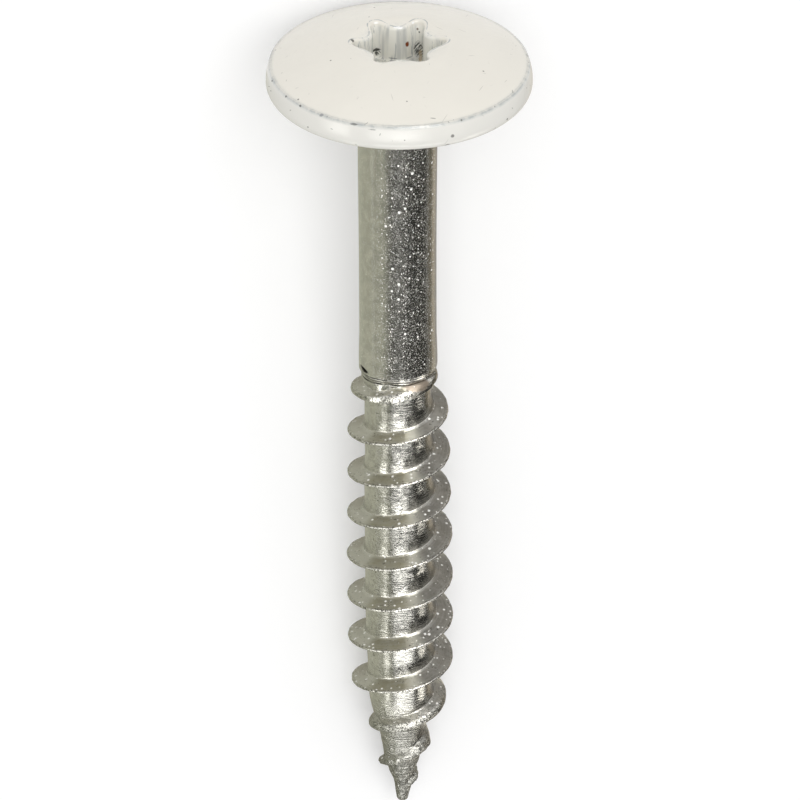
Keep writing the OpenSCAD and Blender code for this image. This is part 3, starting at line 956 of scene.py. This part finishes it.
def head_rows(h):
    """Rows of points from the middle of the head's underside, over the rim and the dome, to the floor of the
    recess, and the number of the row along the outside of the recess's mouth."""
    wall, out = lobe_outline(h, h.columns)
    c, s = unit(h.recess_turn)
    spin = np.array([[c, s], [-s, c]])
    wall, out = wall @ spin, out @ spin
    reach = np.hypot(wall[:, 0], wall[:, 1])
    spread = wall * (h.flare * share(reach, h.waist_d / 2, h.lobe_d / 2) / reach)[:, None]
    even = math.atan2(wall[0, 1], wall[0, 0]) + np.arange(h.columns) * 2 * math.pi / h.columns
    ring = np.stack([np.cos(even), np.sin(even)], axis=1)
    rows = rim_rows(h, ring)
    edge = ring * (h.diameter / 2 - h.rim_inset - 0.11)
    mouth = wall + spread + out * h.mouth_r
    for f in np.r_[np.linspace(0, 0.965, 46), 0.975, 0.983, 0.99, 0.995, 1]:
        xy = edge * (1 - f ** 1.15) + mouth * f ** 1.15
        rows.append((xy, sunk_dome(h, xy) - 0.02 * np.exp(-f / 0.03)))
    return rows + recess_rows(h, wall, out, spread), len(rows) - 1


def head_masks(h, rows, mouth_row, points):
    """Masks of the crease, of the recess's walls and of the back of its mouth."""
    x, y, z = points.T
    reach = np.hypot(x, y)
    mouth = rows[mouth_row][0]
    off = np.full(len(points), np.inf)
    outside = rows[:mouth_row + 1]
    off[:len(outside) * h.columns] = np.ravel([np.hypot(*(xy - mouth).T) for xy, level in outside])
    return {
        "crease": np.exp(-((z - h.rim_h) / 0.05) ** 2) * (reach > 5),
        "recess": smooth(dome_at(h, reach) - z, 0.12, 0.4) * (reach < 3),
        "lip": np.exp(-((off - 0.03) / 0.03) ** 2) * smooth(y, -1.2, -0.4),
    }


def paint_scratches(b, flat, reach, groups):
    """Fine hairs all over the head, and short nicks that crowd towards its edge."""
    hairs = b.group(groups["scratches"], Place=flat, **HAIRS)
    nicks = b.group(groups["scratches"], Place=flat, **NICKS)
    nicks = b.times(nicks, b.spread(reach, 5.0, 5.8, 0.1, 1.0))
    return b.most(b.times(hairs, 0.3), b.times(nicks, 0.55))


def paint_specks(b, place, reach, groups):
    """Dark specks, more of them near the edge."""
    few = b.group(groups["dots"], Place=place, **FEW_SPECKS)
    many = b.group(groups["dots"], Place=place, **EDGE_SPECKS)
    return b.most(few, b.times(many, b.spread(reach, 5.5, 5.8)))


def recess_streaks(b, place, recess):
    """Grey streaks that run down the walls of the recess."""
    wide = b.noise(b.stretch(place, 3.5, 3.5, 0.3), 1.0, 2.0, 0.5)
    narrow = b.noise(b.stretch(place, 9.0, 9.0, 0.7), 1.0, 3.0, 0.6)
    wide = b.times(b.spread(wide, 0.42, 0.68), 0.5)
    return b.times(b.most(wide, b.times(b.spread(narrow, 0.55, 0.68), 0.75)), recess)


def paint_marks(b, place, colour, groups):
    """Lays the single marks over the paint, the glints among them as painted highlights. Those of a driver's
    bit are broken into slanted strokes.
    """
    strokes = {}
    for kind, angle in (("scuff", -0.6), ("scrape", 0.75)):
        slant = b.stretch(b.turn(place, "Y", angle), 16.0, 4.0, 1.6)
        strokes[kind] = b.spread(b.noise(slant, 1.0, 2.0, 0.6), 0.41, 0.52)
    for kind, middle, size, tone, amount in MARKS:
        spot = b.group(groups["spot"], Place=place, Middle=middle, Reach=size, Ragged=0.9)
        if kind in strokes:
            spot = b.times(spot, strokes[kind])
        colour = b.mix(b.times(spot, amount), colour, tone)
    return colour


def paint_material(colours, groups):
    """Warm white enamel with specks, short scratches, a grey crease line, the marks of a driver, and painted
    light and shade.
    """
    material, b, shader, place = new_material("screw_head_paint")
    x, y, z = b.xyz(place)
    level = b.join(x, y)
    reach = b.vector("LENGTH", level)
    unrolled = b.join(b.times(b.math("ARCTAN2", y, x), 6.0), z)
    flat = b.mix_vector(b.spread(reach, 5.84, 5.88), level, unrolled)
    crease, recess, lip = (b.mask(name) for name in ("crease", "recess", "lip"))

    cloud = b.group(groups["grain"], Place=place, Scale=0.35, Contrast=1.2)
    dim_paint = tuple(c * DIM_PAINT for c in colours.paint)
    colour = b.mix(b.spread(cloud, 0.3, 0.7), tuple(colours.paint), dim_paint)
    # Painted shade: the head's side is a duller, greyer white than its dome
    colour = b.mix(b.times(b.spread(reach, 5.8, 5.88), 0.7), colour, SHADED_SIDE_PAINT)
    # Painted light: the recess's walls are a paler, cooler white, against their shade
    colour = b.mix(b.times(recess, 0.5), colour, LIT_RECESS_PAINT)
    # A broken grey line along the crease
    line = b.times(crease, b.spread(b.noise(place, 1.6, 4.0, 0.7), 0.38, 0.62, 0.35, 0.85))
    colour = b.mix(line, colour, CREASE_GREY)
    # A broken blue-grey line along the back of the recess's mouth
    edge = b.times(lip, b.spread(b.noise(place, 2.4, 3.0, 0.7), 0.42, 0.58, 0.0, 0.9))
    colour = b.mix(edge, colour, LIP_GREY)
    scratches = paint_scratches(b, flat, reach, groups)
    specks = paint_specks(b, place, reach, groups)
    colour = b.mix(scratches, colour, tuple(colours.grime))
    colour = b.mix(b.times(specks, 0.85), colour, tuple(colours.grime))
    colour = b.mix(recess_streaks(b, place, recess), colour, STREAK_DIRT)
    b.feed(shader.inputs["Base Color"], paint_marks(b, place, colour, groups))
    b.feed(shader.inputs["Roughness"], b.spread(cloud, 0.2, 0.8, 0.17, 0.27))

    relief = b.times(b.noise(place, 1.3, 2.0, 0.5), 0.02)
    for dent, depth in ((specks, -0.01), (scratches, -0.01), (line, -0.015)):
        relief = b.times_plus(dent, depth, relief)
    give_relief(b, shader, relief)
    return material


class PHS_OT_head(bpy.types.Operator):
    """Make the painted head with its crease and its six-lobed recess"""
    bl_idname = "screw.make_head"
    bl_label = "Painted Head"

    def execute(self, context):
        h = context.scene.screw_head
        n = h.columns
        rows, mouth_row = head_rows(h)
        pit = h.rim_h + h.dome_h - h.recess_depth - h.cone_depth
        points = np.vstack([np.c_[xy, z] for xy, z in rows] + [(0, 0, 0), (0, 0, pit)])
        last = (len(rows) - 1) * n
        start = np.arange(0, last, n)[:, None]
        here, beside = start + np.arange(n), start + (np.arange(n) + 1) % n
        faces = np.stack([here, beside, beside + n, here + n], axis=-1).reshape(-1, 4).tolist()
        faces += [(last + n, (i + 1) % n, i) for i in range(n)]
        faces += [(last + n + 1, last + i, last + (i + 1) % n) for i in range(n)]
        masks = head_masks(h, rows, mouth_row, points)
        piece = make_piece("painted_head", points, faces, masks)
        piece.data.materials.append(paint_material(context.scene.screw_colours, node_groups()))
        return {"FINISHED"}


def node_groups():
    """The shared node groups, made once."""
    makers = {"dots": ("Scattered Dots", dots_group), "scratches": ("Short Scratches", scratches_group),
              "grain": ("Surface Grain", grain_group), "spot": ("Ragged Spot", spot_group)}
    return {key: bpy.data.node_groups.get(name) or make() for key, (name, make) in makers.items()}


def towards(side, rise):
    """Direction from the screw: side in degrees from the front to the right, rise towards the head."""
    a, e = math.radians(side), math.radians(rise)
    own = Vector((math.sin(a) * math.cos(e), -math.cos(a) * math.cos(e), math.sin(e)))
    return (screw_frame().to_3x3() @ own).normalized()


def screw_middle():
    """The place that the light is aimed at, about halfway down the screw."""
    return screw_frame() @ Vector((0, 0, -MIDDLE_DEPTH * MM))


def add_stage(name, mesh, material):
    stage = bpy.data.objects.new(name, mesh)
    stage.data.materials.append(material)
    bpy.context.scene.collection.objects.link(stage)
    return stage


def seen_white(bench):
    """1 for a ray from the camera, off metal or through glass, and 0 for the rays that light things."""
    path = bench.add("ShaderNodeLightPath").outputs
    return bench.most(path["Is Camera Ray"], path["Is Glossy Ray"], path["Is Transmission Ray"])


def make_world(fill):
    """White for what sees it directly, and an even, dimmer fill for what it lights."""
    world = bpy.data.worlds.new("studio")
    bpy.context.scene.world = world
    world.use_nodes = True
    b = ShaderBench(world.node_tree)
    strength = b.spread(seen_white(b), 0.0, 1.0, fill, 1.0)
    back = b.add("ShaderNodeBackground", {"Color": WHITE, "Strength": strength})
    b.add("ShaderNodeOutputWorld", {0: back.outputs[0]})


def make_floor(size):
    """A pale square that shows as near white, and takes a soft shadow."""
    half = size / 2
    mesh = bpy.data.meshes.new("floor")
    corners = [(-half, -half, 0), (half, -half, 0), (half, half, 0), (-half, half, 0)]
    mesh.from_pydata(corners, [], [(0, 1, 2, 3)])
    material = bpy.data.materials.new("floor_white")
    material.use_nodes = True
    b = ShaderBench(material.node_tree)
    matt = b.add("ShaderNodeBsdfDiffuse", {"Color": FLOOR_GREY})
    glow = b.add("ShaderNodeEmission", {"Color": WHITE, "Strength": b.times(seen_white(b), FLOOR_GLOW)})
    both = b.add("ShaderNodeAddShader", {0: matt.outputs[0], 1: glow.outputs[0]})
    b.add("ShaderNodeOutputMaterial", {0: both.outputs[0]})
    add_stage("floor", mesh, material)


def card_material():
    """Glow whose colour and cover come from the card's own points."""
    material = bpy.data.materials.get("card_glow")
    if material:
        return material
    material = bpy.data.materials.new("card_glow")
    material.use_nodes = True
    material.cycles.emission_sampling = "NONE"
    b = ShaderBench(material.node_tree)
    tone = b.add("ShaderNodeAttribute", attribute_name="tone").outputs
    glow = b.add("ShaderNodeEmission", {"Color": tone["Color"], "Strength": 1.0})
    clear = b.add("ShaderNodeBsdfTransparent")
    both = b.add("ShaderNodeMixShader", {0: tone["Alpha"], 1: clear.outputs[0], 2: glow.outputs[0]})
    b.add("ShaderNodeOutputMaterial", {0: both.outputs[0]})
    return material


def make_card(name, points, faces, tones):
    """A glowing card that only shiny surfaces see, with a tone and a cover at each point."""
    mesh = bpy.data.meshes.new(name)
    mesh.from_pydata(points, [], faces)
    attribute = mesh.attributes.new("tone", "FLOAT_COLOR", "POINT")
    attribute.data.foreach_set("color", np.asarray(tones, dtype=np.float32).ravel())
    card = add_stage(name, mesh, card_material())
    for ray in ("camera", "diffuse", "shadow", "transmission", "volume_scatter"):
        setattr(card, f"visible_{ray}", False)


def hang_card(name, sides, rises, soft, tone, reach):
    """Hangs a card round the screw, from side to side in degrees right of the front, and between two rises.
    It fades out over soft degrees at its left, its right, and its foot and top."""
    steps = 33
    side = np.linspace(*sides, steps)[None, :]
    rise = np.linspace(*rises, steps)[:, None]
    left, right, ends = (max(s, 0.01) for s in soft)
    cover = smooth(side, sides[0], sides[0] + left) * (1 - smooth(side, sides[1] - right, sides[1]))
    cover = cover * smooth(rise, rises[0], rises[0] + ends) * (1 - smooth(rise, rises[1] - ends, rises[1]))
    points = [screw_middle() + reach * towards(a, e) for e in rise[:, 0] for a in side[0]]
    tones = [(*tone, c) for c in cover.ravel()]
    make_card(name, points, grid_faces(steps, steps).tolist(), tones)


def lay_card(name, stops):
    """Lays a card on the floor along the screw, from stops of millimetres beside it and tones."""
    back, front, lift = -60 * MM, 17 * MM, 0.05 * MM
    points = [(at * MM, y, lift) for y in (back, front) for at, tone in stops]
    tones = [(*tone, 1.0) for y in (back, front) for at, tone in stops]
    make_card(name, points, grid_faces(2, len(stops)).tolist(), tones)


def make_lamp(name, side, rise, distance, size, power):
    """A square softbox aimed at the screw."""
    light = bpy.data.lights.new(name, "AREA")
    light.shape = "SQUARE"
    light.size = size
    light.energy = power
    lamp = bpy.data.objects.new(name, light)
    away = towards(side, rise)
    lamp.location = screw_middle() + away * distance
    lamp.rotation_euler = away.to_track_quat("Z", "Y").to_euler()
    lamp.visible_glossy = False
    bpy.context.scene.collection.objects.link(lamp)


def make_camera(stage):
    """The camera at the photo's viewing angle, with the screw's head at the top of the picture."""
    data = bpy.data.cameras.new("camera")
    data.lens = stage.lens
    data.sensor_width = 36.0
    data.clip_start = 0.01
    camera = bpy.data.objects.new("camera", data)
    bpy.context.scene.collection.objects.link(camera)
    place = screw_frame()
    turn = place.to_3x3()
    away = turn @ Vector((0, -math.cos(stage.rise), math.sin(stage.rise)))
    up = turn @ Vector((0, math.sin(stage.rise), math.cos(stage.rise)))
    right = turn @ Vector((1, 0, 0))
    aim = place @ Vector((stage.aim_side * MM, 0, -stage.aim_depth * MM))
    pose = Matrix((right, up, away)).transposed().to_4x4()
    pose.translation = aim + away * stage.distance * MM
    camera.matrix_world = pose
    bpy.context.scene.camera = camera


class PHS_OT_stage(bpy.types.Operator):
    """Make the camera, the pale floor and the soft studio light"""
    bl_idname = "screw.make_stage"
    bl_label = "Stage"

    def execute(self, context):
        stage = context.scene.screw_stage
        context.scene.view_settings.view_transform = "Standard"
        make_camera(stage)
        make_world(WORLD_FILL)
        make_floor(stage.floor_size)
        make_lamp("lamp_front", side=10, rise=23, distance=0.5, size=0.4, power=1.1)
        for card in CARDS:
            hang_card(*card)
        lay_card("card_floor", FLOOR_STOPS)
        return {"FINISHED"}


class PHS_PT_panel(bpy.types.Panel):
    """Buttons for the screw's pieces and its stage"""
    bl_idname = "PHS_PT_panel"
    bl_label = "Painted Head Screw"
    bl_space_type = "VIEW_3D"
    bl_region_type = "UI"
    bl_category = "Screw"

    def draw(self, context):
        for operator in OPERATORS:
            self.layout.operator(operator.bl_idname)


SETTINGS = {"screw_head": HeadSizes, "screw_shank": ShankSizes, "screw_thread": ThreadSizes,
            "screw_colours": FinishColours, "screw_stage": StageSizes}
OPERATORS = (PHS_OT_stage, PHS_OT_steel, PHS_OT_head)
CLASSES = (*SETTINGS.values(), *OPERATORS, PHS_PT_panel)


def register():
    for kind in CLASSES:
        bpy.utils.register_class(kind)
    for name, kind in SETTINGS.items():
        setattr(bpy.types.Scene, name, PointerProperty(type=kind))


def unregister():
    for name in SETTINGS:
        delattr(bpy.types.Scene, name)
    for kind in reversed(CLASSES):
        bpy.utils.unregister_class(kind)


def main():
    register()
    bpy.ops.screw.make_stage()
    bpy.ops.screw.make_steel()
    bpy.ops.screw.make_head()


if __name__ == "__main__":
    main()
